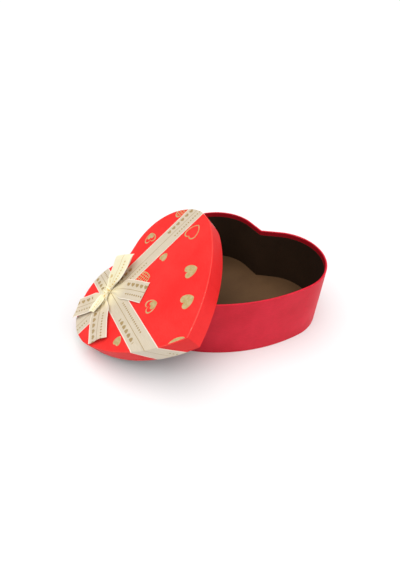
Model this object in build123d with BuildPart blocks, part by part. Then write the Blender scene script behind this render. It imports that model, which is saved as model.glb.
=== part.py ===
from build123d import *
import os
from math import acos, asin, atan2, cos, degrees, hypot, pi, radians, sin, sqrt, tan

# Heart-shaped gift box: an open base, and its ribboned lid taken off and leaning on it.
# The base stands on z = 0 with the heart's tip towards -Y and its cleft towards +Y.

# Heart outline, on the outside of the base
heart_width = 190.0
heart_length = 166.0
lobe_radius = 53.0
side_radius = 190.0
cleft_slope = 24.0

# Heights
box_height = 77.0
lid_depth = 22.0

# Greyboards, papers and linings
wall_board = 1.6
floor_board = 2.0
top_board = 1.6
wrap_paper = 0.2
lining_paper = 0.3
tape_paper = 0.15
bottom_paper = 0.2
floor_pad = 3.0
glue = 0.05
pad_clearance = 0.1

# Folds and laps of the papers
rim_band = 6.0
turn_in = 14.0
turn_under = 12.0
bottom_inset = 4.0
lid_flange = 10.0
lid_strip_lip = 1.2
lid_turn_in = 12.0
tape_width = 22.0
edge_round = 0.5

# Fit of the lid over the base
lid_clearance = 0.7

# How the lid leans: its low lobe on the ground, its rim across the rim of the base
lean_share = 0.798
lean_heading = 53.9
lid_turn = 12.1
lean_clearance = 0.35
ground_clearance = 0.2

# Ribbon straps crossing on the lid
ribbon_width = 25.4
ribbon_thickness = 0.3
strap_in = 55.0
strap_down = 41.0
strap_ramp = 3.0
strap_tuck = 10.0
strap_cut_reach = 12.0

# Bow on the crossed straps: heights are those of a ribbon's underside above the lid
bow_aside = 2.8
bow_up = 3.7
knot_length = 10.0
knot_width = 10.0
knot_height = 6.5
knot_wall = 0.9
knot_round = 2.0
knot_fit = 0.2
layer_gap = 0.1
pinch_width = 5.6
flare_length = 22.0
bow_heading = 13.0
long_loop_length = 46.5
long_loop_width = 25.0
long_loop_radius = 4.0
long_loop_rise = 6.2
long_loop_skew = 24.0
short_loop_length = 28.4
short_loop_width = 13.0
short_loop_radius = 2.6
short_loop_rise = 4.0
short_loop_skew = 0.0
short_loop_turn = 199.0
right_tail_length = 57.9
right_tail_heading = -53.1
right_tail_crest = 2.0
right_tail_lift = 1.0
right_tail_slant = 3.2
left_tail_length = 44.7
left_tail_heading = 157.9
left_tail_crest = 2.2
left_tail_lift = 5.4
left_tail_slant = 9.4
low_tail_length = 62.1
low_tail_heading = -124.4
low_tail_crest = 4.8
low_tail_lift = 3.5
low_tail_slant = -1.8

# Gold foil hearts stamped on the lid
foil = 0.08
foil_stroke = 1.3
foil_margin = 1.0
foil_bar = 0.7
foil_outline = 19.0
foil_large = 14.8
foil_small = 10.4
foil_lace = 21.0
foil_lace_bars = 6
foil_lobe_share = 0.27
foil_lobe_back_share = 0.23
foil_shallow_share = 0.215
foil_deep_share = 0.275
foil_side_share = 0.8
foil_nested_share = 0.58
tip_heart_along_share = 0.44
tip_heart_out_share = 0.38
tip_heart_turn = 132.0
strap_lace_shares = (1.23, -0.41)
lobe_lace_shares = (0.87, 0.58)
lobe_heart_shares = (-0.11, 0.72)

# Foil hearts in the panels below the cross strap: side of the long strap, place across the
# panel, place down the panel, length, how far its lobes stand apart, turn of the tip, style
panel_heart_shares = (
    (1, 0.906, 0.003, foil_outline, foil_shallow_share, 6, "outline"),
    (1, 0.490, 0.007, foil_small, foil_shallow_share, 7, "solid"),
    (1, 0.594, 0.484, foil_large, foil_deep_share, -28, "solid"),
    (1, 0.380, 0.775, foil_large, foil_deep_share, -19, "solid"),
    (1, 0.076, 0.444, foil_large, foil_deep_share, -25, "nested"),
    (-1, 0.015, 0.476, foil_small, foil_shallow_share, 22, "solid"),
)

os.makedirs("parts", exist_ok=True)


def circles_meet(centre_a, radius_a, centre_b, radius_b, hand):
    """Point where two circles cross, on the left (+1) or right (-1) going from a to b."""
    apart = centre_b - centre_a
    along = (radius_a**2 - radius_b**2 + apart.length**2) / (2 * apart.length)
    across = sqrt(radius_a**2 - along**2)
    forward = apart.normalized()
    return centre_a + forward * along + Vector(-forward.Y, forward.X) * (hand * across)


def at_angle(centre, radius, angle):
    """Point of a circle at an angle in radians."""
    return centre + Vector(cos(angle), sin(angle)) * radius


# Arcs that make up the right half of the heart, from the tip to the cleft
heart_tip = Vector(0, -heart_length / 2)
lobe = Vector(heart_width / 2 - lobe_radius, heart_length / 2 - lobe_radius)
left_lobe = Vector(-lobe.X, lobe.Y)
side = circles_meet(heart_tip, side_radius, lobe, side_radius - lobe_radius, 1)
left_side = Vector(-side.X, side.Y)
lead_angle = radians(cleft_slope)
flank_angle = atan2(lobe.Y - side.Y, lobe.X - side.X)
crown_angle = lead_angle + pi / 2


def crown_and_cleft(grow):
    """Ends of the straight run from the top of the right lobe down to the cleft."""
    crown = at_angle(lobe, lobe_radius + grow, crown_angle)
    return crown, Vector(0, crown.Y - crown.X * tan(lead_angle))


def heart(grow):
    """Heart face that stands out from the base's outline by grow all round."""
    side_r = side_radius + grow
    lobe_r = lobe_radius + grow
    tip_angle = -acos(-side.X / side_r)
    crown, cleft = crown_and_cleft(grow)
    with BuildSketch() as face:
        with BuildLine():
            ThreePointArc(
                at_angle(side, side_r, tip_angle),
                at_angle(side, side_r, (tip_angle + flank_angle) / 2),
                at_angle(side, side_r, flank_angle),
            )
            ThreePointArc(
                at_angle(lobe, lobe_r, flank_angle),
                at_angle(lobe, lobe_r, (flank_angle + crown_angle) / 2),
                crown,
            )
            Line(crown, cleft)
            mirror(about=Plane.YZ)
        make_face()
    return face.sketch


def heart_ring(outer, inner):
    """Heart band between two outlines."""
    with BuildSketch() as ring:
        add(heart(outer))
        add(heart(inner), mode=Mode.SUBTRACT)
    return ring.sketch


def wall_ring(plane, height, grow, thickness, top_round):
    """Heart-shaped wall with its top edges rounded."""
    with BuildPart() as ring:
        with BuildSketch(plane):
            add(heart_ring(grow, grow - thickness))
        extrude(amount=height)
        fillet(ring.faces().sort_by(Axis.Z)[-1].edges(), top_round)
    return ring.part


def corner_tape(plane, height, grow, corner):
    """Strip of stay tape bent round the tip or the cleft of a wall."""
    with BuildPart() as tape:
        with BuildSketch(plane):
            add(heart_ring(grow, grow - tape_paper))
            with Locations(corner):
                Rectangle(tape_width, tape_width, mode=Mode.INTERSECT)
        extrude(amount=height)
    return tape.part


def save(part, name):
    """Label a finished piece and write it."""
    part.label = name
    export_step(part, f"parts/{name}.step")


heart_cleft = crown_and_cleft(0)[1]

# Layers of the base wall, as steps in from its outside
base_board_out = -wrap_paper - glue
base_board_in = base_board_out - wall_board
base_inside = base_board_in - glue - wrap_paper
base_liner_in = base_inside - lining_paper
base_wrap_low = bottom_paper
base_board_low = base_wrap_low + wrap_paper + glue
base_floor_top = base_board_low + floor_board
base_board_height = box_height - wrap_paper - glue - base_board_low

# Layers of the lid wall, as steps out from the outside of the base
lid_inside = lid_clearance
lid_board_in = lid_inside + wrap_paper
lid_board_out = lid_board_in + wall_board
lid_flange_out = lid_board_out + wrap_paper
lid_skin = lid_flange_out + wrap_paper

# Pose of the leaning lid. Its rim crosses the rim of the base at two points, one on the
# left lobe of the base and one on its right side, equally high up the slope of the lid.
lean_run = lean_share * heart_width
lid_rest = 2 * ribbon_thickness + ground_clearance
lean_tilt = asin((box_height + lean_clearance - lid_rest) / lean_run)
heading = radians(lean_heading)
turn = radians(lid_turn)
up_slope = Vector(cos(heading) * cos(lean_tilt), sin(heading) * cos(lean_tilt), sin(lean_tilt))
level = Vector(-sin(heading), cos(heading), 0)
lid_x = up_slope * cos(turn) + level * sin(turn)
lid_y = level * cos(turn) - up_slope * sin(turn)
lid_normal = lid_x.cross(lid_y)
lid_uphill = Vector(cos(turn), -sin(turn))
low_climb = lid_uphill.dot(left_lobe) - lobe_radius - lid_skin
rim_climb = low_climb + lean_run


def rim_point(centre, radius, way):
    """Plan offset from the lid's middle of the rim point where the base carries the lid."""
    angle = way * acos((rim_climb - lid_uphill.dot(centre)) / radius) - turn
    on_rim = at_angle(centre, radius, angle)
    offset_from_middle = lid_x * on_rim.X + lid_y * on_rim.Y
    return Vector(offset_from_middle.X, offset_from_middle.Y)


far_point = rim_point(lobe, lobe_radius + lid_inside, 1)
near_point = rim_point(side, side_radius + lid_inside, -1)
lid_plan = circles_meet(left_lobe - far_point, lobe_radius, side - near_point, side_radius, 1)
lid_middle = Vector(lid_plan.X, lid_plan.Y, lid_rest - low_climb * sin(lean_tilt))
lid_plane = Plane(lid_middle + lid_normal * lid_depth, x_dir=lid_x, z_dir=lid_normal)
lid_axis = Axis(lid_plane.origin, lid_normal)


def on_lid(across, up, turn_degrees=0):
    """Plane of the lid's top, moved to a place on it and turned about the lid's normal."""
    origin = lid_plane.origin + lid_x * across + lid_y * up
    angle = radians(turn_degrees)
    return Plane(origin, x_dir=lid_x * cos(angle) + lid_y * sin(angle), z_dir=lid_normal)


# Base: greyboard floor, two wall strips and the tapes that join them
base_wall_plane = Plane.XY.offset(base_board_low)
with BuildPart() as base_floor_board:
    with BuildSketch(base_wall_plane):
        add(heart(base_board_in))
    extrude(amount=floor_board)
save(base_floor_board.part, "base_floor_board")

base_tape_height = base_board_height - edge_round
base_tapes = {
    "base_tip_tape": corner_tape(base_wall_plane, base_tape_height, base_board_out, heart_tip),
    "base_cleft_tape": corner_tape(base_wall_plane, base_tape_height, base_board_out, heart_cleft),
}
for name, tape in base_tapes.items():
    save(tape, name)

base_walls = wall_ring(base_wall_plane, base_board_height, base_board_out, wall_board, edge_round)
for name, keep in (("base_wall_left", Keep.BOTTOM), ("base_wall_right", Keep.TOP)):
    with BuildPart() as base_wall:
        add(base_walls)
        for tape in base_tapes.values():
            add(tape, mode=Mode.SUBTRACT)
        split(bisect_by=Plane.YZ, keep=keep)
    save(base_wall.part, name)

# Base: red paper up the outside, over the rim, down inside as a band, and under the floor
base_wrap_plane = Plane.XY.offset(base_wrap_low)
turn_in_low = box_height - turn_in
wrap_outside = wall_ring(
    base_wrap_plane, box_height - base_wrap_low, 0, -base_inside, edge_round + glue + wrap_paper
)
wrap_hollow = wall_ring(
    base_wrap_plane.offset(wrap_paper),
    base_board_height + 2 * glue,
    -wrap_paper,
    wall_board + 2 * glue,
    edge_round + glue,
)
with BuildPart() as base_outer_wrap:
    add(wrap_outside)
    add(wrap_hollow, mode=Mode.SUBTRACT)
    with BuildSketch(base_wrap_plane):
        add(heart_ring(-wrap_paper, base_inside))
    extrude(amount=turn_in_low - base_wrap_low, mode=Mode.SUBTRACT)
    with BuildSketch(base_wrap_plane):
        add(heart_ring(0, -turn_under))
    extrude(amount=wrap_paper)
save(base_outer_wrap.part, "base_outer_wrap")

# Base: brown linings, with a rebate behind the wall lining for the turned-in paper
with BuildPart() as base_wall_liner:
    with BuildSketch(Plane.XY.offset(base_floor_top)):
        add(heart_ring(base_board_in, base_liner_in))
    extrude(amount=turn_in_low - base_floor_top)
    with BuildSketch(Plane.XY.offset(turn_in_low)):
        add(heart_ring(base_inside, base_liner_in))
    extrude(amount=turn_in - rim_band)
save(base_wall_liner.part, "base_wall_liner")

with BuildPart() as base_floor_pad:
    with BuildSketch(Plane.XY.offset(base_floor_top)):
        add(heart(base_liner_in - pad_clearance))
    extrude(amount=floor_pad)
save(base_floor_pad.part, "base_floor_pad")

with BuildPart() as base_bottom_sheet:
    with BuildSketch(Plane.XY):
        add(heart(-bottom_inset))
    extrude(amount=bottom_paper)
save(base_bottom_sheet.part, "base_bottom_sheet")

# Lid: greyboard top, two wall strips and their tapes
lid_board_top = lid_plane.offset(-wrap_paper)
lid_wall_plane = lid_plane.offset(wrap_paper - lid_depth)
lid_wall_height = lid_depth - 2 * wrap_paper

with BuildPart() as lid_top_board:
    with BuildSketch(lid_board_top.offset(-top_board)):
        add(heart(lid_board_in))
    extrude(amount=top_board)
save(lid_top_board.part, "lid_top_board")

lid_tape_height = lid_wall_height - edge_round
lid_tapes = {
    "lid_tip_tape": corner_tape(lid_wall_plane, lid_tape_height, lid_board_out, heart_tip),
    "lid_cleft_tape": corner_tape(lid_wall_plane, lid_tape_height, lid_board_out, heart_cleft),
}
for name, tape in lid_tapes.items():
    save(tape, name)

with BuildPart() as lid_walls:
    with BuildSketch(lid_wall_plane):
        add(heart_ring(lid_board_out, lid_board_in))
    extrude(amount=lid_wall_height)
    fillet(lid_walls.faces().sort_by(lid_axis)[-1].outer_wire().edges(), edge_round)

lid_halves = Plane(lid_plane.origin, x_dir=lid_y, z_dir=lid_x)
for name, keep in (("lid_wall_left", Keep.BOTTOM), ("lid_wall_right", Keep.TOP)):
    with BuildPart() as lid_wall:
        add(lid_walls.part)
        for tape in lid_tapes.values():
            add(tape, mode=Mode.SUBTRACT)
        split(bisect_by=lid_halves, keep=keep)
    save(lid_wall.part, name)

# Lid: red top sheet with its edge folded down, and the side strip that covers that fold
with BuildPart() as lid_top_wrap:
    with BuildSketch(lid_plane.offset(-lid_flange)):
        add(heart(lid_flange_out))
    extrude(amount=lid_flange)
    fillet(lid_top_wrap.faces().sort_by(lid_axis)[-1].edges(), edge_round + wrap_paper)
    with BuildSketch(lid_plane.offset(-lid_flange)):
        add(heart(lid_board_in))
    extrude(amount=lid_flange - wrap_paper, mode=Mode.SUBTRACT)
    add(lid_walls.part, mode=Mode.SUBTRACT)
save(lid_top_wrap.part, "lid_top_wrap")

lid_rim = lid_plane.offset(-lid_depth)
with BuildPart() as lid_side_wrap:
    with BuildSketch(lid_plane.offset(-lid_flange)):
        add(heart_ring(lid_skin, lid_flange_out))
    extrude(amount=lid_flange - lid_strip_lip)
    with BuildSketch(lid_rim):
        add(heart_ring(lid_skin, lid_board_out))
    extrude(amount=lid_depth - lid_flange)
    with BuildSketch(lid_rim):
        add(heart_ring(lid_skin, lid_inside))
    extrude(amount=wrap_paper)
    with BuildSketch(lid_rim):
        add(heart_ring(lid_board_in, lid_inside))
    extrude(amount=lid_turn_in)
save(lid_side_wrap.part, "lid_side_wrap")

# Lid: brown linings inside
lid_ceiling = -wrap_paper - top_board
with BuildPart() as lid_top_liner:
    with BuildSketch(lid_plane.offset(lid_ceiling - lining_paper)):
        add(heart(lid_board_in))
    extrude(amount=lining_paper)
save(lid_top_liner.part, "lid_top_liner")

lid_liner_height = lid_depth + lid_ceiling - lining_paper - lid_turn_in
with BuildPart() as lid_wall_liner:
    with BuildSketch(lid_rim.offset(lid_turn_in)):
        add(heart_ring(lid_board_in, lid_inside))
    extrude(amount=lid_liner_height)
save(lid_wall_liner.part, "lid_wall_liner")

# Ribbon channel: the space a strap fills down the skirt, under the rim and up inside
ribbon_out = lid_skin + ribbon_thickness
ribbon_in = lid_inside - ribbon_thickness
ribbon_low = lid_rim.offset(-ribbon_thickness)
with BuildPart() as ribbon_channel:
    with BuildSketch(ribbon_low):
        add(heart_ring(ribbon_out, lid_skin))
    extrude(amount=lid_depth + 2 * ribbon_thickness)
    with BuildSketch(ribbon_low):
        add(heart_ring(ribbon_out, ribbon_in))
    extrude(amount=ribbon_thickness)
    with BuildSketch(ribbon_low):
        add(heart_ring(lid_inside, ribbon_in))
    extrude(amount=ribbon_thickness + strap_tuck)


def strap_end(centre, radius, start, way):
    """Strap going way from start over an arc of the lid's edge, folded straight on down the skirt."""
    to_start = start - centre
    reach = sqrt(radius**2 - (to_start - way * to_start.dot(way)).length ** 2) - to_start.dot(way)
    edge = start + way * reach
    outward = (edge - centre).normalized()
    along = Vector(-outward.Y, outward.X)
    slant = way.dot(along) / way.dot(outward)
    half = ribbon_width / 2 / way.dot(outward)
    skirt_plane = Plane(
        lid_plane.from_local_coords(edge),
        x_dir=lid_x * along.X + lid_y * along.Y,
        z_dir=lid_x * outward.X + lid_y * outward.Y,
    )
    high = ribbon_thickness
    low = -lid_depth - ribbon_thickness
    with BuildPart() as end:
        add(ribbon_channel.part)
        with BuildSketch(skirt_plane):
            Polygon(
                (-half - high * slant, high),
                (half - high * slant, high),
                (half - low * slant, low),
                (-half - low * slant, low),
                align=None,
            )
        extrude(amount=strap_cut_reach, both=True, mode=Mode.INTERSECT)
    return end.part


crossing = Vector(strap_in - heart_width / 2, heart_length / 2 - strap_down)
knot_place = crossing + Vector(-bow_aside, bow_up)
lid_left = Vector(-1, 0)
lid_right = Vector(1, 0)
to_cleft = Vector(0, 1)
to_tip = Vector(0, -1)
lid_lobe_radius = lobe_radius + lid_skin
lid_side_radius = side_radius + lid_skin

with BuildPart() as ribbon_strap_cross:
    with BuildSketch(lid_plane):
        add(heart(ribbon_out))
        with Locations((0, crossing.Y)):
            Rectangle(2 * heart_width, ribbon_width, mode=Mode.INTERSECT)
    extrude(amount=ribbon_thickness)
    add(strap_end(left_lobe, lid_lobe_radius, crossing, lid_left))
    add(strap_end(lobe, lid_lobe_radius, crossing, lid_right))
save(ribbon_strap_cross.part, "ribbon_strap_cross")

# The long strap rides up over the cross strap
hump_half = ribbon_width / 2
with BuildPart() as ribbon_strap_long:
    with BuildSketch(Plane(on_lid(crossing.X, crossing.Y).origin, x_dir=lid_y, z_dir=lid_x)):
        Polygon(
            (-heart_length, 0),
            (-hump_half - strap_ramp, 0),
            (-hump_half, ribbon_thickness),
            (hump_half, ribbon_thickness),
            (hump_half + strap_ramp, 0),
            (heart_length, 0),
            (heart_length, ribbon_thickness),
            (hump_half + strap_ramp, ribbon_thickness),
            (hump_half, 2 * ribbon_thickness),
            (-hump_half, 2 * ribbon_thickness),
            (-hump_half - strap_ramp, ribbon_thickness),
            (-heart_length, ribbon_thickness),
            align=None,
        )
    extrude(amount=ribbon_width / 2, both=True)
    with BuildSketch(lid_plane):
        add(heart(ribbon_out))
    extrude(amount=2 * ribbon_thickness, mode=Mode.INTERSECT)
    add(strap_end(left_lobe, lid_lobe_radius, crossing, to_cleft))
    add(strap_end(left_side, lid_side_radius, crossing, to_tip))
save(ribbon_strap_long.part, "ribbon_strap_long")

# Bow: heights above the lid of the tails, the knot and what the knot holds
tails_low = 2 * ribbon_thickness + layer_gap
knot_low = tails_low + ribbon_thickness + layer_gap
pinch_middle = knot_low + knot_height / 2
knot_reach = hypot(knot_length, knot_width) / 2


def flared_plan(length, width, slant):
    """Plan of a ribbon: pinched at the knot, flaring to its width, with a slanted end."""
    half = width / 2
    pinch = pinch_width / 2
    with BuildSketch() as plan:
        Polygon(
            (0, -pinch),
            (knot_reach, -pinch),
            (flare_length, -half),
            (length - slant / 2, -half),
            (length + slant / 2, half),
            (flare_length, half),
            (knot_reach, pinch),
            (0, pinch),
            align=None,
        )
    return plan.sketch


def side_plane(turn_degrees):
    """Plane standing on the lid at the knot, along a heading, with height as its Y."""
    plan = on_lid(knot_place.X, knot_place.Y, turn_degrees)
    return Plane(plan.origin, x_dir=plan.x_dir, z_dir=-plan.y_dir)


def knot_outline(inset):
    """Section across the knot, a given step in from its outside."""
    with BuildSketch() as section:
        with Locations((0, pinch_middle)):
            RectangleRounded(knot_width - 2 * inset, knot_height - 2 * inset, knot_round - inset)
    return section.sketch


def bow_tail(turn_degrees, length, slant, start, crest, lift):
    """Ribbon end that runs flat under the knot, then arches over a crest to its lifted end."""
    reach = length + abs(slant)
    up = Vector(0, ribbon_thickness)
    foot = Vector(0, start)
    bend = Vector(knot_reach, start)
    middle = Vector((knot_reach + reach) / 2, crest)
    end = Vector(reach, lift)
    with BuildPart() as tail:
        with BuildSketch(side_plane(turn_degrees)):
            with BuildLine():
                Line(foot, bend)
                ThreePointArc(bend, middle, end)
                Line(end, end + up)
                ThreePointArc(end + up, middle + up, bend + up)
                Line(bend + up, foot + up)
                Line(foot + up, foot)
            make_face()
        extrude(amount=ribbon_width, both=True)
        with BuildSketch(on_lid(knot_place.X, knot_place.Y, turn_degrees)):
            add(flared_plan(length, ribbon_width, slant))
        extrude(amount=heart_width, mode=Mode.INTERSECT)
    return tail.part


def bow_loop(turn_degrees, length, width, radius, rise, skew):
    """Teardrop loop of ribbon that leaves the knot and comes back to it, its far fold skewed."""
    plan = on_lid(knot_place.X, knot_place.Y, turn_degrees)
    middle = Vector(length - radius, pinch_middle + rise)
    knot = Vector(knot_length / 4, pinch_middle)
    aim = atan2(middle.Y - knot.Y, middle.X - knot.X)
    spread = acos(radius / (middle - knot).length)
    upper = at_angle(middle, radius, aim + pi - spread)
    lower = at_angle(middle, radius, aim + pi + spread)
    with BuildPart() as loop:
        with BuildSketch(side_plane(turn_degrees)):
            with BuildLine():
                Line(knot, upper)
                ThreePointArc(upper, at_angle(middle, radius, aim), lower)
                Line(lower, knot)
            make_face()
            offset(amount=-ribbon_thickness, mode=Mode.SUBTRACT)
        extrude(amount=ribbon_width, dir=plan.y_dir - plan.x_dir * tan(radians(skew)), both=True)
        with BuildSketch(plan):
            add(flared_plan(length + width, width, 0))
        extrude(amount=heart_width, mode=Mode.INTERSECT)
    return loop.part


right_tail = bow_tail(
    right_tail_heading, right_tail_length, right_tail_slant, tails_low, right_tail_crest, right_tail_lift
)
left_tail = bow_tail(
    left_tail_heading, left_tail_length, left_tail_slant, tails_low, left_tail_crest, left_tail_lift
)
low_tail = bow_tail(
    low_tail_heading, low_tail_length, low_tail_slant, knot_low, low_tail_crest, low_tail_lift
)
long_loop = bow_loop(
    bow_heading, long_loop_length, long_loop_width, long_loop_radius, long_loop_rise, long_loop_skew
)
short_loop = bow_loop(
    bow_heading + short_loop_turn,
    short_loop_length,
    short_loop_width,
    short_loop_radius,
    short_loop_rise,
    short_loop_skew,
)

knot_section = side_plane(bow_heading + 90)

with BuildPart() as bow_tails:
    add(right_tail)
    add(left_tail)
save(bow_tails.part, "bow_tails")

with BuildPart() as bow_loops:
    with BuildSketch(knot_section):
        add(knot_outline(knot_wall + knot_fit))
    extrude(amount=knot_length / 2, both=True)
    add(long_loop)
    add(short_loop)
save(bow_loops.part, "bow_loops")

with BuildPart() as bow_tie:
    with BuildSketch(knot_section):
        add(knot_outline(0))
        add(knot_outline(knot_wall), mode=Mode.SUBTRACT)
    extrude(amount=knot_length / 2, both=True)
    add(low_tail)
save(bow_tie.part, "bow_tie")


# Foil hearts: their places on the lid, then their shapes
strap_edge = ribbon_width / 2
panel_runs = {1: heart_width / 2 - crossing.X - strap_edge, -1: heart_width / 2 + crossing.X - strap_edge}
panel_fall = heart_length / 2 + crossing.Y - strap_edge


def on_panel(side_sign, across_share, down_share, length, apart_share):
    """Place between the long strap and the lid's side, below the cross strap, clear of both."""
    inset = length * (foil_lobe_share + apart_share) + foil_margin
    across = strap_edge + inset + across_share * (panel_runs[side_sign] - 2 * inset)
    down = strap_edge + inset + down_share * (panel_fall - 2 * inset)
    return Vector(crossing.X + side_sign * across, crossing.Y - down)


def foil_shape(length, apart_share):
    """Little heart with its tip towards +X: two lobes and the bowed sides from them to the tip."""
    lobe_r = length * foil_lobe_share
    side_r = length * foil_side_share
    tip = Vector(length / 2, 0)
    upper = Vector(-length * foil_lobe_back_share, length * apart_share)
    bow = circles_meet(tip, side_r, upper, side_r - lobe_r, 1)
    flank = upper + (upper - bow).normalized() * lobe_r
    middle = bow + (tip + flank - bow * 2).normalized() * side_r
    with BuildSketch() as shape:
        with BuildLine():
            ThreePointArc(tip, middle, flank)
            Line(flank, upper)
            Line(upper, Vector(upper.X, 0))
            Line(Vector(upper.X, 0), tip)
        make_face()
        mirror(about=Plane.XZ)
        with Locations((upper.X, upper.Y), (upper.X, -upper.Y)):
            Circle(lobe_r)
    return shape.sketch


def foil_lattice(length, apart_share):
    """Crossed bars that fill a little heart."""
    pitch = length / foil_lace_bars
    opening = pitch - foil_bar
    with BuildSketch() as lattice:
        add(foil_shape(length, apart_share))
        with GridLocations(pitch * sqrt(2), pitch * sqrt(2), foil_lace_bars, foil_lace_bars):
            Rectangle(opening, opening, rotation=45, mode=Mode.SUBTRACT)
        with Locations((pitch / sqrt(2), pitch / sqrt(2))):
            with GridLocations(pitch * sqrt(2), pitch * sqrt(2), foil_lace_bars, foil_lace_bars):
                Rectangle(opening, opening, rotation=45, mode=Mode.SUBTRACT)
    return lattice.sketch


foil_hearts = [
    (on_panel(side_sign, across_share, down_share, length, apart_share), length, apart_share, tip_turn, style)
    for side_sign, across_share, down_share, length, apart_share, tip_turn, style in panel_heart_shares
]
below_strap = crossing + Vector(strap_edge, -strap_edge)
tip_direction = atan2(heart_tip.Y - left_side.Y, heart_tip.X - left_side.X)
near_tip = tip_direction - foil_lace * tip_heart_along_share / side_radius
tip_heart = at_angle(left_side, side_radius + foil_lace * tip_heart_out_share, near_tip)
foil_hearts += [
    (tip_heart, foil_lace, foil_deep_share, degrees(near_tip) + tip_heart_turn, "solid"),
    (below_strap + Vector(*strap_lace_shares) * foil_lace, foil_lace, foil_deep_share, -35, "lattice"),
    (lobe + Vector(*lobe_lace_shares) * lobe_radius, foil_lace, foil_deep_share, 40, "lattice"),
    (lobe + Vector(*lobe_heart_shares) * lobe_radius, foil_large, foil_deep_share, 55, "nested"),
]

for number, (place, length, apart_share, tip_turn, style) in enumerate(foil_hearts, 1):
    with BuildPart() as foil_heart:
        with BuildSketch(on_lid(place.X, place.Y, tip_turn)):
            add(foil_shape(length, apart_share))
            if style != "solid":
                add(foil_shape(length - 2 * foil_stroke, apart_share), mode=Mode.SUBTRACT)
            if style == "nested":
                nested = length * foil_nested_share
                with Locations(((length - nested - foil_stroke) / 2, 0)):
                    add(foil_shape(nested, apart_share))
            if style == "lattice":
                add(foil_lattice(length - foil_stroke, apart_share))
        extrude(amount=foil)
        with BuildSketch(lid_plane):
            add(heart(lid_flange_out - wrap_paper - edge_round))
        extrude(amount=foil, mode=Mode.INTERSECT)
        for strap in (ribbon_strap_cross, ribbon_strap_long):
            add(strap.part, mode=Mode.SUBTRACT)
    save(foil_heart.part, f"foil_heart_{number:02d}")
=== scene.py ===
import math

import bpy
from mathutils import Matrix, Quaternion, Vector


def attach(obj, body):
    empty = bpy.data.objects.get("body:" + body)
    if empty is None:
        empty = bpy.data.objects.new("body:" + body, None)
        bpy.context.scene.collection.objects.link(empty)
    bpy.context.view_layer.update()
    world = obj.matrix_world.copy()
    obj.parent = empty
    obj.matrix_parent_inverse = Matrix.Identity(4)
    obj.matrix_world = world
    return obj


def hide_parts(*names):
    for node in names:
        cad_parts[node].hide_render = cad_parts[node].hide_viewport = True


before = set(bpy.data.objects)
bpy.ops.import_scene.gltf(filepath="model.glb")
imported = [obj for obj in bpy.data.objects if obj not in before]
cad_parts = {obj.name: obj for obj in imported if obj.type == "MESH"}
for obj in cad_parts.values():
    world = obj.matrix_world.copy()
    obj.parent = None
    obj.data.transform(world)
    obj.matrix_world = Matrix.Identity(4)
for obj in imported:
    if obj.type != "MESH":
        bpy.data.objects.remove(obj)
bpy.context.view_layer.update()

# Lengths below are in millimetres unless a name says metres
MM = 0.001

# Lid: the middle of its top surface, and its directions in the frame
LID_ORIGIN = Vector((-50.7391589, -82.2167394, 71.9218392))
LID_X = Vector((0.3279191, 0.8054596, 0.4936638))
LID_Y = Vector((-0.8966484, 0.4299082, -0.1058324))
LID_N = LID_X.cross(LID_Y)
LID_DEPTH = 22.0
LID_INSIDE = 0.7
LID_SKIN = 2.9
LEFT_LOBE = (Vector((-42.0, 30.0)), 53.0)
RIGHT_LOBE = (Vector((42.0, 30.0)), 53.0)
LEFT_SIDE = (Vector((81.9120444, 88.4363351)), 190.0)

# Ribbon straps
RIBBON_WIDTH = 25.4
RIBBON_THICKNESS = 0.3
RIBBON_GAP = 0.05
STRAP_MIDDLE = RIBBON_GAP + RIBBON_THICKNESS / 2
CROSSING = Vector((-40.0, 42.0))
COLUMNS = 18
STRAP_STEPS = 64
STRAP_RAMP = 3.0
EDGE_BEND = 0.85
EDGE_STEPS = 6
SKIRT_STEPS = 8
RIM_BEND = 0.3
RIM_STEPS = 3
STRAP_TUCK = 10.0
TUCK_STEPS = 4
CREASE_DEGREES = 50

# Bow, with heights of a ribbon's middle above the lid
KNOT = CROSSING + Vector((-2.8, 3.7))
KNOT_LENGTH = 10.0
KNOT_WIDTH = 10.0
KNOT_LOW = 1.1
KNOT_HEIGHT = 6.5
KNOT_MIDDLE = KNOT_LOW + KNOT_HEIGHT / 2
KNOT_AROUND = 56
KNOT_ALONG = 22
KNOT_TAPER = 0.34
KNOT_TAPER_POWER = 3.0
KNOT_WAIST = 0.2
KNOT_WAIST_REACH = 0.4
KNOT_WAIST_WANDER = 0.12
KNOT_SQUARE = 2.6
KNOT_SKEW = 0.5
KNOT_PRINT_RADIUS = 4.0
BOW_HEADING = 13.8
SHORT_HEADING = 210.0
PINCH_HALF = 2.8
PLEATS = 3
TAIL_STEPS = 46
TAIL_START = 1.5
TAIL_SWAY_POWER = 0.7
TAIL_GATHER_START = 4.0
TAIL_GATHER_PAST_FLARE = 6.0
LEFT_CURL = 0.8
LOW_RIPPLE = 1.1
LOW_RIPPLE_RUN = (0.45, 1.0)
LOW_RIPPLE_ASIDE = 0.25
LOOP_STEPS = 110
LOOP_GATHER = (2.0, 20.0)
LOOP_UNDER_SHARES = (0.5, 0.66)
LOOP_CROWN_SHARES = (0.42, 0.62)

# Loops as (reach, height) out and back, with half-widths as (run from the knot, half-width)
LONG_LOOP = [
    (1.5, 5.2), (8.0, 5.9), (15.0, 7.3), (25.0, 9.4), (34.0, 11.9), (41.0, 14.2),
    (46.0, 14.4), (46.5, 11.4), (43.0, 8.6), (32.0, 5.6), (18.0, 3.6), (8.0, 3.2), (1.5, 3.6),
]
LONG_HALVES = [(0, 2.6), (8, 5.7), (15, 10.1), (25, 11.8), (50, 12.7)]
SHORT_LOOP = [
    (1.5, 5.2), (7.0, 7.2), (14.0, 8.8), (22.0, 9.4), (27.0, 8.8),
    (28.4, 7.4), (26.0, 6.0), (18.0, 4.9), (9.0, 4.1), (1.5, 3.6),
]
SHORT_HALVES = [(0, 2.6), (6, 4.6), (14, 6.0), (22, 5.4), (32, 2.9)]

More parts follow.
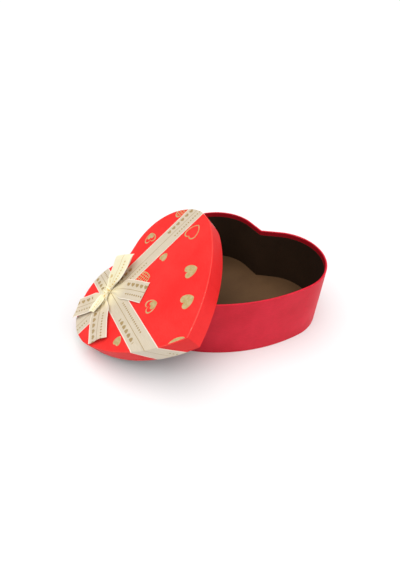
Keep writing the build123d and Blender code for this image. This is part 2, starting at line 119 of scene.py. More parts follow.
# Tails as (run from the knot, height)
RIGHT_HEIGHTS = [(0, 0.9), (7, 0.95), (28, 1.3), (58, 1.0)]
LEFT_HEIGHTS = [(0, 0.9), (7, 0.95), (26, 2.2), (54, 5.6)]
LOW_HEIGHTS = [(0, 1.5), (7, 2.2), (33, 4.9), (64, 3.8)]

# Weave of the ribbon, and its print: a group is where a row starts in each period, and how long it is
WARP_PITCH = 0.42
WEFT_PITCH = 0.55
SELVEDGE_IN = 1.1
SELVEDGE_FULL = 0.7
# Painted glow near the knot, for the light the gathered bow shines and lets through onto the ribbon: where
# it starts and where it is full
PAINTED_GLOW_REACH = 32.0
PAINTED_GLOW_FULL = 8.0
PRINT_PERIOD = 96.0
PRINT_ROW = 5.8
LINE_HALF = 0.42
LINE_FULL = 0.24
HEART_PITCH = 7.0
HEART_HALF = 2.2
HEART_GROUP = (78.0, 40.0)
BEAD_PITCH = 3.5
BEAD_HALF = 1.5
BEAD_FULL = 1.2
BEAD_GROUP = (80.0, 55.0)
CROSS_STRAP_PRINT = -16.0
LONG_STRAP_PRINT = -29.0
TAIL_PRINT = 52.0
SHORT_LOOP_PRINT = 110.0

# Grain of each surface, as noise scales per metre, and the depth of its relief
PAPER_LAID_SCALES = (260, 260, 3600)
PAPER_TOOTH_SCALE = 5200
PAPER_CLOUD_SCALE = 28
PAPER_RELIEF = 0.12
LINING_PULP_SCALE = 900
LINING_FIBRE_SCALES = (500, 3000, 900)
LINING_CLOUD_SCALE = 22
LINING_RELIEF = 0.15
BOARD_PULP_SCALE = 1400
BOARD_FLECK_SCALE = 3600
BOARD_RELIEF = 0.2
FOIL_TOOTH_SCALE = 3200
FOIL_RUB_SCALE = 240
FOIL_RELIEF = 0.08
CLOTH_SLUB_SCALES = (90, 2600, 1)
CLOTH_RELIEF = 0.12

# Turned-in band of the base, painted in shade, and rounded edge of the lid, painted with a highlight: how
# they face, and how strong their painted tone is
BAND_FACING = -4.0
BAND_FACING_FULL = -20.0
BAND_SHADE_STRENGTH = 0.8
EDGE_FACING_OUT = 0.12
EDGE_FACING_OUT_FULL = 0.4
EDGE_FACING_UP = 0.97
EDGE_FACING_UP_FULL = 0.8
EDGE_HIGHLIGHT_STRENGTH = 0.4

# Studio
FLOOR_REACH_METRES = 16.0
FLOOR_DROP = 0.2
FLOOR_MOTTLE_SCALE = 6.0

# Camera
CAMERA_PLACE = (156.0, -270.0, 329.9)
CAMERA_AIM = (-55.52, 11.86, 0.0)
CAMERA_SENSOR = 36.0
CAMERA_LENS = 22.415
CAMERA_ROLL = -2.19
CAMERA_NEAR = 10.0


def smoothstep(low, high, value):
    """0 below low, 1 above high, and a smooth rise between."""
    t = min(1.0, max(0.0, (value - low) / (high - low)))
    return t * t * (3 - 2 * t)


def smooth_drop(low, high, value):
    """1 below low, 0 above high, and a smooth fall between."""
    return 1.0 - smoothstep(low, high, value)


def smooth_through(points, x):
    """Height at x of a smooth line through points (x, height)."""
    slopes = []
    for i in range(len(points)):
        before = points[max(i - 1, 0)]
        after = points[min(i + 1, len(points) - 1)]
        slopes.append((after[1] - before[1]) / (after[0] - before[0]))
    for (x0, y0), (x1, y1), s0, s1 in zip(points, points[1:], slopes, slopes[1:]):
        if x <= x1 or x1 == points[-1][0]:
            step = x1 - x0
            t = (x - x0) / step
            a = (1 + 2 * t) * (1 - t) ** 2
            b = t * (1 - t) ** 2
            c = t * t * (3 - 2 * t)
            d = t * t * (t - 1)
            return a * y0 + b * step * s0 + c * y1 + d * step * s1
    return points[-1][1]


def heading(degrees):
    """Direction in the plane of the lid's top."""
    return Vector((math.cos(math.radians(degrees)), math.sin(math.radians(degrees))))


def left_of(way):
    """Direction a quarter turn to the left of way."""
    return Vector((-way.y, way.x))


def from_lid(x, y, z):
    """Point of the frame, in metres, from a place on the lid in millimetres."""
    return (LID_ORIGIN + LID_X * x + LID_Y * y + LID_N * z) * MM


# Materials


class Paint:
    """A procedural material under construction."""

    def __init__(self, name):
        self.material = bpy.data.materials.new(name)
        self.material.use_nodes = True
        self.nodes = self.material.node_tree.nodes
        self.links = self.material.node_tree.links
        self.shader = self.nodes["Principled BSDF"]

    def put(self, socket, value):
        """Links a socket to value, or sets it."""
        if isinstance(value, bpy.types.NodeSocket):
            self.links.new(value, socket)
        else:
            socket.default_value = value

    def set(self, **values):
        """Sets the shader's own sockets, with _ for the spaces in their names."""
        for name, value in values.items():
            self.put(self.shader.inputs[name.replace("_", " ")], value)

    def place(self, kind="Object"):
        return self.nodes.new("ShaderNodeTexCoord").outputs[kind]

    def stretch(self, vector, scale, turn=(0, 0, 0)):
        node = self.nodes.new("ShaderNodeMapping")
        node.inputs["Scale"].default_value = scale
        node.inputs["Rotation"].default_value = turn
        self.put(node.inputs["Vector"], vector)
        return node.outputs[0]

    def noise(self, vector, scale, detail=4.0, roughness=0.6):
        node = self.nodes.new("ShaderNodeTexNoise")
        self.put(node.inputs["Vector"], vector)
        node.inputs["Scale"].default_value = scale
        node.inputs["Detail"].default_value = detail
        node.inputs["Roughness"].default_value = roughness
        return node.outputs[0]

    def split(self, vector):
        node = self.nodes.new("ShaderNodeSeparateXYZ")
        self.put(node.inputs[0], vector)
        return node.outputs

    def calc(self, operation, *values):
        node = self.nodes.new("ShaderNodeMath")
        node.operation = operation
        for socket, value in zip(node.inputs, values):
            self.put(socket, value)
        return node.outputs[0]

    def blend(self, first, second, share):
        """A share of first, and second for the rest."""
        return self.calc("MULTIPLY_ADD", first, share, self.calc("MULTIPLY", second, 1 - share))

    def measure(self, operation, first, second):
        """Number from two vectors: DISTANCE or DOT_PRODUCT."""
        node = self.nodes.new("ShaderNodeVectorMath")
        node.operation = operation
        self.put(node.inputs[0], first)
        self.put(node.inputs[1], second)
        return node.outputs["Value"]

    def normal(self):
        return self.nodes.new("ShaderNodeNewGeometry").outputs["Normal"]

    def rise(self, value, low, high, to_low=0.0, to_high=1.0):
        """Smooth step from to_low to to_high as value goes from low to high."""
        node = self.nodes.new("ShaderNodeMapRange")
        node.interpolation_type = "SMOOTHSTEP"
        for socket, number in zip(node.inputs, (value, low, high, to_low, to_high)):
            self.put(socket, number)
        return node.outputs[0]

    def mix(self, share, first, second):
        node = self.nodes.new("ShaderNodeMix")
        node.data_type = "RGBA"
        self.put(node.inputs["Factor"], share)
        self.put(node.inputs[6], first)
        self.put(node.inputs[7], second)
        return node.outputs[2]

    def bump(self, height, strength, relief):
        node = self.nodes.new("ShaderNodeBump")
        node.inputs["Strength"].default_value = strength
        node.inputs["Distance"].default_value = relief * MM
        self.put(node.inputs["Height"], height)
        self.put(self.shader.inputs["Normal"], node.outputs[0])


def rgb(red, green, blue):
    """Linear colour from a display colour of 0 to 255."""
    parts = [c / 255 for c in (red, green, blue)]
    return [((c + 0.055) / 1.055) ** 2.4 if c > 0.04045 else c / 12.92 for c in parts] + [1.0]


def laid_paper(name, deep, pale, painted_light_tone, grain_turn, mask):
    """Coated wrapping paper with a fine laid grain, and a painted tone of light and shade where its mask
    is.
    """
    paint = Paint(name)
    place = paint.place()
    laid = paint.noise(paint.stretch(place, PAPER_LAID_SCALES, grain_turn), 1.0, 3.0)
    tooth = paint.noise(place, PAPER_TOOTH_SCALE, 2.0)
    cloud = paint.noise(place, PAPER_CLOUD_SCALE, 3.0)
    colour = paint.mix(paint.rise(paint.blend(laid, cloud, 0.55), 0.34, 0.66), deep, pale)
    # Painted light and shade: the mask's tone, broken up by the paper's tooth, laid over the paper's colour
    painted_light_share = paint.calc("MULTIPLY", mask(paint, place), paint.rise(tooth, 0.3, 0.7, 0.45, 1.0))
    paint.set(Base_Color=paint.mix(painted_light_share, colour, painted_light_tone))
    paint.set(Roughness=paint.rise(laid, 0.3, 0.7, 0.46, 0.6), Specular_IOR_Level=0.16)
    paint.bump(paint.blend(laid, tooth, 0.7), 0.35, PAPER_RELIEF)
    return paint.material


def turned_in_band_shade(paint, place):
    """Mask of the painted shade on the band turned in over the rim, which faces the middle of the box."""
    facing = paint.measure("DOT_PRODUCT", paint.normal(), place)
    inward = paint.rise(facing, BAND_FACING * MM, BAND_FACING_FULL * MM)
    return paint.calc("MULTIPLY", inward, BAND_SHADE_STRENGTH)


def rounded_edge_highlight(paint, place):
    """Mask of the painted highlight on the rounded edge round the lid's top, which needs no place."""
    facing = paint.measure("DOT_PRODUCT", paint.normal(), LID_N)
    off_skirt = paint.rise(facing, EDGE_FACING_OUT, EDGE_FACING_OUT_FULL)
    off_top = paint.rise(facing, EDGE_FACING_UP, EDGE_FACING_UP_FULL)
    return paint.calc("MULTIPLY", paint.calc("MULTIPLY", off_skirt, off_top), EDGE_HIGHLIGHT_STRENGTH)


def lining_paper(name, deep, pale, fibre):
    """Matt lining paper with short fibres."""
    paint = Paint(name)
    place = paint.place()
    pulp = paint.noise(place, LINING_PULP_SCALE, 5.0, 0.7)
    fibres = paint.noise(paint.stretch(place, LINING_FIBRE_SCALES), 1.0, 3.0)
    cloud = paint.noise(place, LINING_CLOUD_SCALE, 3.0)
    colour = paint.mix(paint.rise(paint.blend(pulp, cloud, 0.5), 0.35, 0.65), deep, pale)
    paint.set(Base_Color=paint.mix(paint.rise(fibres, 0.62, 0.75, 0.0, 0.35), colour, fibre))
    paint.set(Roughness=paint.rise(pulp, 0.3, 0.7, 0.62, 0.8), Specular_IOR_Level=0.25)
    paint.bump(paint.calc("ADD", pulp, fibres), 0.3, LINING_RELIEF)
    return paint.material


def board(name, deep, pale):
    """Chipboard or tape paper with flecks of pulp."""
    paint = Paint(name)
    place = paint.place()
    pulp = paint.noise(place, BOARD_PULP_SCALE, 6.0, 0.75)
    fleck = paint.noise(place, BOARD_FLECK_SCALE, 2.0)
    colour = paint.mix(paint.rise(pulp, 0.35, 0.65), deep, pale)
    paint.set(Base_Color=paint.mix(paint.rise(fleck, 0.68, 0.74, 0.0, 0.5), colour, rgb(70, 62, 54)))
    paint.set(Roughness=paint.rise(pulp, 0.3, 0.7, 0.75, 0.92), Specular_IOR_Level=0.2)
    paint.bump(pulp, 0.4, BOARD_RELIEF)
    return paint.material


def gold_foil(name):
    """Hot-stamped gold foil that takes the tooth of the paper under it."""
    paint = Paint(name)
    place = paint.place()
    tooth = paint.noise(place, FOIL_TOOTH_SCALE, 3.0)
    rub = paint.noise(place, FOIL_RUB_SCALE, 4.0)
    colour = paint.mix(paint.rise(rub, 0.35, 0.7), rgb(228, 198, 130), rgb(242, 217, 163))
    paint.set(Base_Color=colour, Metallic=0.55)
    paint.set(Roughness=paint.rise(tooth, 0.3, 0.7, 0.3, 0.46))
    paint.bump(tooth, 0.3, FOIL_RELIEF)
    return paint.material


def heart_mask(paint, along, across, size):
    """1 inside little hearts of a half-width size, with their tips towards -across."""
    x = paint.calc("DIVIDE", along, size)
    y = paint.calc("DIVIDE", across, size)
    xx = paint.calc("MULTIPLY", x, x)
    yy = paint.calc("MULTIPLY", y, y)
    ring = paint.calc("SUBTRACT", paint.calc("ADD", xx, yy), 1.0)
    cube = paint.calc("POWER", paint.calc("ABSOLUTE", ring), 3.0)
    signed = paint.calc("MULTIPLY", cube, paint.calc("SIGN", ring))
    notch = paint.calc("MULTIPLY", xx, paint.calc("MULTIPLY", yy, y))
    return paint.rise(paint.calc("SUBTRACT", signed, notch), 0.06, -0.06)


def group_mask(paint, along, start, length):
    """1 over a stretch of each period along the ribbon."""
    place = paint.calc("FLOORED_MODULO", paint.calc("SUBTRACT", along, start), PRINT_PERIOD)
    return paint.calc("LESS_THAN", place, length)


def from_repeat(paint, along, pitch):
    """Distance along the ribbon from the middle of its repeat."""
    return paint.calc("SUBTRACT", paint.calc("FLOORED_MODULO", along, pitch), pitch / 2)


def print_mask(paint, along, across):
    """1 on the printed centre line, on a row of hearts and on a row of beads."""
    line = paint.rise(paint.calc("ABSOLUTE", across), LINE_HALF, LINE_FULL)
    heart_across = paint.calc("SUBTRACT", across, PRINT_ROW)
    hearts = heart_mask(paint, from_repeat(paint, along, HEART_PITCH), heart_across, HEART_HALF)
    hearts = paint.calc("MULTIPLY", hearts, group_mask(paint, along, *HEART_GROUP))
    bead_along = paint.calc("ABSOLUTE", from_repeat(paint, along, BEAD_PITCH))
    bead_across = paint.calc("ABSOLUTE", paint.calc("ADD", across, PRINT_ROW))
    beads = paint.rise(paint.calc("ADD", bead_along, bead_across), BEAD_HALF, BEAD_FULL)
    beads = paint.calc("MULTIPLY", beads, group_mask(paint, along, *BEAD_GROUP))
    return paint.calc("MAXIMUM", line, paint.calc("MAXIMUM", hearts, beads))


def printed_ribbon(name, cream, shade, selvedge, gold, painted_glow):
    """Woven ribbon with a painted glow near the knot, a printed centre line and rows of hearts and beads.
    """
    paint = Paint(name)
    flat = paint.place("UV")
    parts = paint.split(flat)
    along = paint.calc("MULTIPLY", parts[0], 1 / MM)
    across = paint.calc("MULTIPLY", parts[1], 1 / MM)
    warp = paint.calc("SINE", paint.calc("MULTIPLY", across, 2 * math.pi / WARP_PITCH))
    weft = paint.calc("SINE", paint.calc("MULTIPLY", along, 2 * math.pi / WEFT_PITCH))
    weave = paint.calc("MULTIPLY", warp, weft)
    slub = paint.noise(paint.stretch(flat, CLOTH_SLUB_SCALES), 1.0, 3.0)
    cloth = paint.mix(paint.rise(slub, 0.3, 0.7), shade, cream)
    cloth = paint.mix(paint.rise(weave, 0.2, 1.0, 0.0, 0.12), cloth, selvedge)
    # Painted glow: the ribbon turns warmer and lighter near the knot, standing in for light shining off and
    # through the bow
    from_knot = paint.measure("DISTANCE", paint.place(), KNOT_PLACE)
    cloth = paint.mix(paint.rise(from_knot, PAINTED_GLOW_REACH * MM, PAINTED_GLOW_FULL * MM, 0.0, 0.85), cloth, painted_glow)
    half = RIBBON_WIDTH / 2
    edge = paint.rise(paint.calc("ABSOLUTE", across), half - SELVEDGE_IN, half - SELVEDGE_FULL)
    cloth = paint.mix(edge, cloth, selvedge)
    ink = paint.calc("MULTIPLY", print_mask(paint, along, across), paint.rise(weave, -1.0, 1.0, 0.72, 0.95))
    paint.set(Base_Color=paint.mix(ink, cloth, gold))
    paint.set(Metallic=paint.calc("MULTIPLY", ink, 0.3))
    paint.set(Roughness=paint.rise(slub, 0.3, 0.7, 0.36, 0.5))
    paint.set(Specular_IOR_Level=0.4, Sheen_Weight=0.25, Sheen_Roughness=0.35)
    paint.set(Subsurface_Weight=0.3, Subsurface_Radius=(1.0, 0.95, 0.85), Subsurface_Scale=1.0 * MM)
    height = paint.calc("MULTIPLY_ADD", weave, 0.35, paint.calc("MULTIPLY_ADD", edge, 0.6, slub))
    paint.bump(height, 0.3, CLOTH_RELIEF)
    return paint.material


LID_TURN = Matrix((LID_X, LID_Y, LID_N)).to_euler()
KNOT_PLACE = from_lid(KNOT.x, KNOT.y, KNOT_MIDDLE)
# Painted shade: the base has the lid's paper in a darker, cooler copy, standing in for the shade and cool
# light on its walls, and a deeper painted shade on the band turned in over the rim.
red_base_shaded = laid_paper(
    "red_paper_base_shaded", rgb(196, 23, 42), rgb(218, 36, 58), rgb(158, 6, 14), (0, 0, 0), turned_in_band_shade
)
# The lid's paper, with a painted highlight of a lighter tone on its rounded edge.
red_lid = laid_paper(
    "red_paper_lid", rgb(238, 40, 38), rgb(248, 58, 54), rgb(250, 112, 100), LID_TURN, rounded_edge_highlight
)
# Painted shade: the lid's skirt has the same paper in a darker copy, standing in for the shade on the lid's
# sides, with the same painted highlight on the rounded edge.
red_skirt_shaded = laid_paper(
    "red_paper_skirt_shaded", rgb(222, 30, 31), rgb(234, 43, 42), rgb(246, 104, 94), LID_TURN, rounded_edge_highlight
)
brown_lining = lining_paper("brown_lining", rgb(44, 29, 17), rgb(57, 39, 24), rgb(84, 62, 42))
brown_pad = lining_paper("brown_pad", rgb(82, 57, 33), rgb(97, 69, 42), rgb(116, 88, 58))
bottom_paper = lining_paper("bottom_paper", rgb(168, 20, 34), rgb(188, 32, 46), rgb(204, 74, 80))
greyboard = board("greyboard", rgb(150, 142, 130), rgb(178, 170, 158))
stay_tape = board("stay_tape", rgb(206, 190, 160), rgb(224, 210, 182))
foil = gold_foil("gold_foil")
# The strap ribbon; its last colour is the painted glow near the knot.
ribbon_strap = printed_ribbon(
    "ribbon_strap",
    rgb(221, 206, 183),
    rgb(208, 193, 168),
    rgb(244, 232, 214),
    rgb(172, 140, 76),
    rgb(246, 233, 192),
)
# Painted highlight: the knot and loops have a lighter, warmer copy of the strap ribbon, standing in for the
# light they catch and let through.
ribbon_bow_lit = printed_ribbon(
    "ribbon_bow_lit",
    rgb(248, 240, 206),
    rgb(242, 231, 190),
    rgb(253, 247, 226),
    rgb(222, 186, 100),
    rgb(244, 232, 192),
)

FINISHES = {
    "base_outer_wrap": red_base_shaded,
    "lid_top_wrap": red_lid,
    "lid_side_wrap": red_skirt_shaded,
    "base_wall_liner": brown_lining,
    "lid_top_liner": brown_lining,
    "lid_wall_liner": brown_lining,
    "base_floor_pad": brown_pad,
    "base_bottom_sheet": bottom_paper,
}
for node_name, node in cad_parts.items():
    if node_name.startswith("foil_heart"):
        finish = foil
    elif node_name.endswith("_tape"):
        finish = stay_tape
    else:
        finish = FINISHES.get(node_name, greyboard)
    node.data.materials.clear()
    node.data.materials.append(finish)


# Ribbon meshes: rows of (place on the lid, run along the ribbon, offset across it)


def ribbon_mesh(name, strips):
    """Thin closed ribbon from strips: the rows of one length of cloth, and its material."""
    verts, faces, flats, slots = [], [], [], []
    for number, (rows, material) in enumerate(strips):
        first = len(verts)
        across = len(rows[0])
        for row in rows:
            for (x, y, z), along, off in row:
                verts.append(from_lid(x, y, z))
                flats.append((along * MM, off * MM))
        for i in range(len(rows) - 1):
            for j in range(across - 1):
                a = first + i * across + j
                faces.append((a, a + across, a + across + 1, a + 1))
                slots.append(number)
    mesh = bpy.data.meshes.new(name)
    mesh.from_pydata(verts, [], faces)
    for rows, material in strips:
        mesh.materials.append(material)
    mesh.polygons.foreach_set("material_index", slots)
    uv = mesh.uv_layers.new(name="flat")
    for loop in mesh.loops:
        uv.data[loop.index].uv = flats[loop.vertex_index]
    piece = bpy.data.objects.new(name, mesh)
    bpy.context.scene.collection.objects.link(piece)
    thick = piece.modifiers.new("thickness", "SOLIDIFY")
    thick.thickness = RIBBON_THICKNESS * MM
    thick.offset = 0.0
    bpy.context.view_layer.update()
    solid = bpy.data.meshes.new_from_object(piece.evaluated_get(bpy.context.evaluated_depsgraph_get()))
    piece.modifiers.clear()
    piece.data = solid
    solid.name = name
    solid.shade_smooth()
    solid.set_sharp_from_angle(angle=math.radians(CREASE_DEGREES))
    return piece


def column_offsets():
    """Offsets across a ribbon of its columns, as shares of its half-width."""
    return [2 * j / COLUMNS - 1 for j in range(COLUMNS + 1)]


def strap_profile(outer, inner):
    """Section of a strap's end as (radius, height): over the edge, down the skirt, round the rim and in."""
    edge_ring = outer - EDGE_BEND
    edge_height = STRAP_MIDDLE - EDGE_BEND
    outer_ring = outer - RIM_BEND
    inner_ring = inner + RIM_BEND
    rim_height = RIM_BEND - LID_DEPTH - STRAP_MIDDLE
    profile = []
    for k in range(1, EDGE_STEPS + 1):
        turn = k * math.pi / 2 / EDGE_STEPS
        profile.append((edge_ring + EDGE_BEND * math.sin(turn), edge_height + EDGE_BEND * math.cos(turn)))
    for k in range(1, SKIRT_STEPS + 1):
        profile.append((outer, edge_height + (rim_height - edge_height) * k / SKIRT_STEPS))
    for k in range(1, RIM_STEPS + 1):
        turn = k * math.pi / 2 / RIM_STEPS
        profile.append((outer_ring + RIM_BEND * math.cos(turn), rim_height - RIM_BEND * math.sin(turn)))
    for k in range(RIM_STEPS + 1):
        turn = k * math.pi / 2 / RIM_STEPS
        profile.append((inner_ring - RIM_BEND * math.sin(turn), rim_height - RIM_BEND * math.cos(turn)))
    for k in range(1, TUCK_STEPS + 1):
        profile.append((inner, rim_height + (STRAP_TUCK - RIM_BEND) * k / TUCK_STEPS))
    return profile


def reach_to(origin, way, centre, radius):
    """How far from origin, going way, the circle lies."""
    to_origin = origin - centre
    along = to_origin.dot(way)
    return math.sqrt(radius**2 - to_origin.length_squared + along**2) - along


def strap_end(start, way, arc, column):
    """Run of one column of a strap from the lid's top over its edge, down the skirt and round the rim."""
    centre, radius = arc
    outer = radius + LID_SKIN + STRAP_MIDDLE
    inner = radius + LID_INSIDE - STRAP_MIDDLE
    edge = start + way * reach_to(start, way, centre, outer - EDGE_BEND)
    middle_edge = CROSSING + way * reach_to(CROSSING, way, centre, outer)
    outward = (middle_edge - centre).normalized()
    slant = way.dot(left_of(outward)) / way.dot(outward)
    angle = math.atan2(edge.y - centre.y, edge.x - centre.x)
    run = (edge - CROSSING).dot(way)
    last = (outer - EDGE_BEND, STRAP_MIDDLE)
    points = []
    for ring, height in strap_profile(outer, inner):
        run += math.hypot(ring - last[0], height - last[1]) * math.hypot(1, slant)
        last = (ring, height)
        shift = min(0.0, max(height, -LID_DEPTH)) * slant / outer
        place = centre + Vector((math.cos(angle - shift), math.sin(angle - shift))) * ring
        points.append(((place.x, place.y, height), run, column))
    return edge, points


def strap(name, way, far_arc, near_arc, hump, print_start):
    """Strap across the lid; hump is how far it rides over the other strap."""
    columns = []
    for share in column_offsets():
        column = share * RIBBON_WIDTH / 2
        start = CROSSING + left_of(way) * column
        far, far_points = strap_end(start, way, far_arc, column)
        near, near_points = strap_end(start, -way, near_arc, column)
        near_points = [(place, -run, off) for place, run, off in near_points]
        top_points = []
        for k in range(STRAP_STEPS + 1):
            place = near.lerp(far, k / STRAP_STEPS)
            run = (place - CROSSING).dot(way)
            bridge = smoothstep(RIBBON_WIDTH / 2 + STRAP_RAMP, RIBBON_WIDTH / 2, abs(run))
            top_points.append(((place.x, place.y, STRAP_MIDDLE + hump * bridge), run, column))
        points = near_points[::-1] + top_points + far_points
        columns.append([(place, run + print_start, off) for place, run, off in points])
    rows = [list(row) for row in zip(*columns)]
    return ribbon_mesh(name, [(rows, ribbon_strap)])


def pleat_height(folds, share):
    """Height of the pleats across a gathered ribbon."""
    return folds * (0.5 - 0.5 * math.cos(PLEATS * math.pi * (share + 1)))


def tail_rows(degrees, length, slant, sway, heights, flare, folds, curl, flip):
    """Ribbon end that lies from the knot along a heading, swaying aside, to a slanted cut."""
    way = heading(degrees)
    side = left_of(way)
    rows = []
    for i in range(TAIL_STEPS + 1):
        row = []
        for share in column_offsets():
            run = TAIL_START + (length - TAIL_START + slant / 2 * share) * i / TAIL_STEPS
            half = PINCH_HALF + (RIBBON_WIDTH / 2 - PINCH_HALF) * smoothstep(*flare, run)
            gather = smooth_drop(TAIL_GATHER_START, flare[1] + TAIL_GATHER_PAST_FLARE, run)
            fold = pleat_height(folds * gather, share)
            lift = smooth_through(heights, run) + fold + curl(run / length, share)
            aside = sway * math.sin(math.pi * min(run / length, 1.0) ** TAIL_SWAY_POWER)
            place = KNOT + way * run + side * (half * share + aside)
            row.append(((place.x, place.y, lift), run + TAIL_PRINT, share * RIBBON_WIDTH / 2 * flip))
        rows.append(row)
    return rows


def back_rows(rows):
    """The same ribbon end, walked from its cut to the knot."""
    return [[(place, -run, -off) for place, run, off in row[::-1]] for row in rows[::-1]]


def loop_spine(outline):
    """Smooth (reach, height) points of a loop, and the run along it to each."""
    last = len(outline) - 1
    reaches = [(k / last, reach) for k, (reach, height) in enumerate(outline)]
    heights = [(k / last, height) for k, (reach, height) in enumerate(outline)]
    spine = []
    for i in range(LOOP_STEPS + 1):
        share = i / LOOP_STEPS
        spine.append((smooth_through(reaches, share), smooth_through(heights, share)))
    runs = [0.0]
    for (x0, z0), (x1, z1) in zip(spine, spine[1:]):
        runs.append(runs[-1] + math.hypot(x1 - x0, z1 - z0))
    return spine, runs


def loop_rows(degrees, outline, halves, slant_share, sway, under, crown, folds, start_run):
    """Loop of ribbon over a heading; outline is its (reach, height) points out and back."""
    way = heading(degrees)
    side = left_of(way)
    far = max(reach for reach, height in outline)
    spine, runs = loop_spine(outline)
    rows = []
    for i, (reach, height) in enumerate(spine):
        before = spine[max(i - 1, 0)]
        after = spine[min(i + 1, LOOP_STEPS)]
        normal = left_of(Vector((after[0] - before[0], after[1] - before[1])).normalized())
        from_knot = min(runs[i], runs[-1] - runs[i])
        half = smooth_through(halves, from_knot)
        gather = smooth_drop(*LOOP_GATHER, from_knot)
        lower = smoothstep(*LOOP_UNDER_SHARES, i / LOOP_STEPS) * (1 - gather)
        upper = smooth_drop(*LOOP_CROWN_SHARES, i / LOOP_STEPS) * (1 - gather)
        aside = sway * math.sin(math.pi * reach / far) + under * lower
        row = []
        for share in column_offsets():
            rise = crown * upper * (1 - share * share) - pleat_height(folds * gather, share)
            reach_here = reach * (1 + slant_share * share) + normal.x * rise
            place = KNOT + way * reach_here + side * (half * share + aside)
            lift = height + normal.y * rise
            row.append(((place.x, place.y, lift), start_run + runs[i], share * RIBBON_WIDTH / 2))
        rows.append(row)
    return rows


def knot_rows(degrees):
    """Pleated band of the knot, round the pinched ribbons."""
    way = heading(degrees)
    side = left_of(way)
    rows = []
    for i in range(KNOT_AROUND + 1):
        turn = 2 * math.pi * i / KNOT_AROUND
        cos, sin = math.cos(turn), math.sin(turn)
        square = (abs(cos) ** KNOT_SQUARE + abs(sin) ** KNOT_SQUARE) ** (-1 / KNOT_SQUARE)
        row = []
        for j in range(KNOT_ALONG + 1):
            share = 2 * j / KNOT_ALONG - 1
            taper = 1.0 - KNOT_TAPER * abs(share) ** KNOT_TAPER_POWER
            from_waist = abs(share - KNOT_WAIST_WANDER * sin)
            girth = taper * (1.0 - KNOT_WAIST * smooth_drop(0.0, KNOT_WAIST_REACH, from_waist)) * square
            lift = KNOT_MIDDLE + KNOT_HEIGHT / 2 * girth * sin
            reach = share * KNOT_LENGTH / 2 + KNOT_SKEW * sin * (1 - share * share)
            place = KNOT + way * reach + side * (KNOT_WIDTH / 2 * girth * cos)
            row.append(((place.x, place.y, lift), turn * KNOT_PRINT_RADIUS, share * RIBBON_WIDTH / 2))
        rows.append(row)
    return rows


def no_curl(run, share):
    """Right end lies flat across."""
    return 0.0


def left_curl(run, share):
    """Left end's two edges lift towards its cut."""
    return LEFT_CURL * run * run * share * share


def low_curl(run, share):
    """Lower end ripples across its cut."""
    return LOW_RIPPLE * smoothstep(*LOW_RIPPLE_RUN, run) * math.sin(math.pi * (share + LOW_RIPPLE_ASIDE))


cross_strap = strap("ribbon_cross", Vector((1, 0)), RIGHT_LOBE, LEFT_LOBE, 0.0, CROSS_STRAP_PRINT)
long_strap = strap("ribbon_long", Vector((0, 1)), LEFT_LOBE, LEFT_SIDE, RIBBON_THICKNESS, LONG_STRAP_PRINT)

right_tail = tail_rows(
    degrees=-53.1,
    length=57.9,
    slant=3.2,
    sway=4.8,
    heights=RIGHT_HEIGHTS,
    flare=(4.0, 26.0),
    folds=0.9,
    curl=no_curl,
    flip=1,
)
left_tail = tail_rows(
    degrees=157.9,
    length=44.7,
    slant=9.4,
    sway=2.2,
    heights=LEFT_HEIGHTS,
    flare=(3.0, 20.0),
    folds=0.9,
    curl=left_curl,
    flip=1,
)
low_tail = tail_rows(
    degrees=-124.4,
    length=62.1,
    slant=-1.8,
    sway=-3.2,
    heights=LOW_HEIGHTS,
    flare=(5.0, 28.0),
    folds=1.2,
    curl=low_curl,
    flip=-1,
)
long_loop = loop_rows(
    degrees=BOW_HEADING,
    outline=LONG_LOOP,
    halves=LONG_HALVES,
    slant_share=-0.118,
    sway=-1.5,
    under=7.5,
    crown=0.7,
    folds=2.0,
    start_run=0.0,
)
short_loop = loop_rows(
    degrees=SHORT_HEADING,
    outline=SHORT_LOOP,
    halves=SHORT_HALVES,
    slant_share=0.0,
    sway=3.5,
    under=-5.0,
    crown=-2.0,
    folds=2.0,
    start_run=SHORT_LOOP_PRINT,
)

bow_tails = ribbon_mesh("bow_ribbon_ends", [(back_rows(left_tail) + right_tail, ribbon_strap)])
bow_tie = ribbon_mesh("bow_ribbon_knot", [(knot_rows(BOW_HEADING), ribbon_bow_lit), (low_tail, ribbon_strap)])
bow_loops = ribbon_mesh("bow_ribbon_loops", [(long_loop, ribbon_bow_lit), (short_loop, ribbon_bow_lit)])

for piece, node_name in (
    (cross_strap, "ribbon_strap_cross"),
    (long_strap, "ribbon_strap_long"),
    (bow_tails, "bow_tails"),
    (bow_tie, "bow_tie"),
    (bow_loops, "bow_loops"),
):
    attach(piece, "lid")
    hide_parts(node_name)


# Studio: pale floor, soft light from above, camera


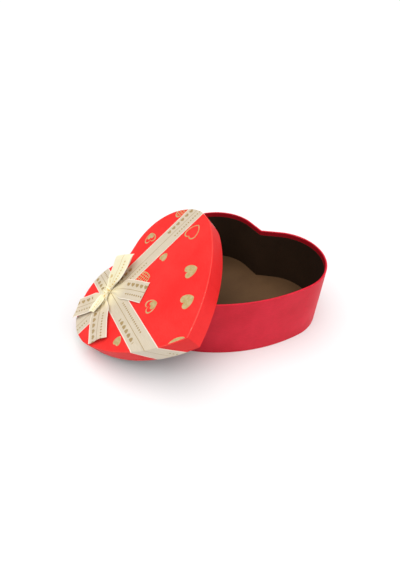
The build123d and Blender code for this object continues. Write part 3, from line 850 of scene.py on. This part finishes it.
def studio_floor():
    """Large pale floor just under the box."""
    reach = FLOOR_REACH_METRES
    mesh = bpy.data.meshes.new("studio_floor")
    corners = [(-reach, -reach, 0), (reach, -reach, 0), (reach, reach, 0), (-reach, reach, 0)]
    mesh.from_pydata(corners, [], [(0, 1, 2, 3)])
    floor = bpy.data.objects.new("studio_floor", mesh)
    floor.location.z = -FLOOR_DROP * MM
    bpy.context.scene.collection.objects.link(floor)
    paint = Paint("studio_floor")
    mottle = paint.noise(paint.place(), FLOOR_MOTTLE_SCALE, 2.0)
    paint.set(Base_Color=paint.mix(mottle, rgb(232, 232, 232), rgb(236, 236, 236)), Roughness=0.9)
    paint.set(Specular_IOR_Level=0.1)
    mesh.materials.append(paint.material)


def soft_sun(name, towards, spread, strength):
    """Even light from a wide part of the sky."""
    light = bpy.data.lights.new(name, "SUN")
    light.angle = math.radians(spread)
    light.energy = strength
    lamp = bpy.data.objects.new(name, light)
    lamp.location = towards
    lamp.rotation_euler = (-Vector(towards)).to_track_quat("-Z", "Y").to_euler()
    bpy.context.scene.collection.objects.link(lamp)


def studio_world(strength):
    """White light from all round."""
    world = bpy.data.worlds.new("studio")
    world.use_nodes = True
    background = world.node_tree.nodes["Background"]
    background.inputs["Color"].default_value = (1.0, 1.0, 1.0, 1.0)
    background.inputs["Strength"].default_value = strength
    bpy.context.scene.world = world


def studio_camera():
    """Camera aimed at the box, with its roll."""
    data = bpy.data.cameras.new("camera")
    data.sensor_width = CAMERA_SENSOR
    data.lens = CAMERA_LENS
    data.clip_start = CAMERA_NEAR * MM
    camera = bpy.data.objects.new("camera", data)
    place = Vector(CAMERA_PLACE) * MM
    aim = Vector(CAMERA_AIM) * MM
    camera.location = place
    roll = Quaternion((0, 0, 1), math.radians(CAMERA_ROLL))
    camera.rotation_euler = ((aim - place).to_track_quat("-Z", "Y") @ roll).to_euler()
    bpy.context.scene.collection.objects.link(camera)
    bpy.context.scene.camera = camera


studio_floor()
soft_sun("key", towards=(-0.02, -0.15, 1.0), spread=75.0, strength=3.0)
soft_sun("side", towards=(0.85, 0.42, 0.4), spread=60.0, strength=1.3)
studio_world(strength=0.22)
studio_camera()
bpy.context.scene.view_settings.view_transform = "Standard"
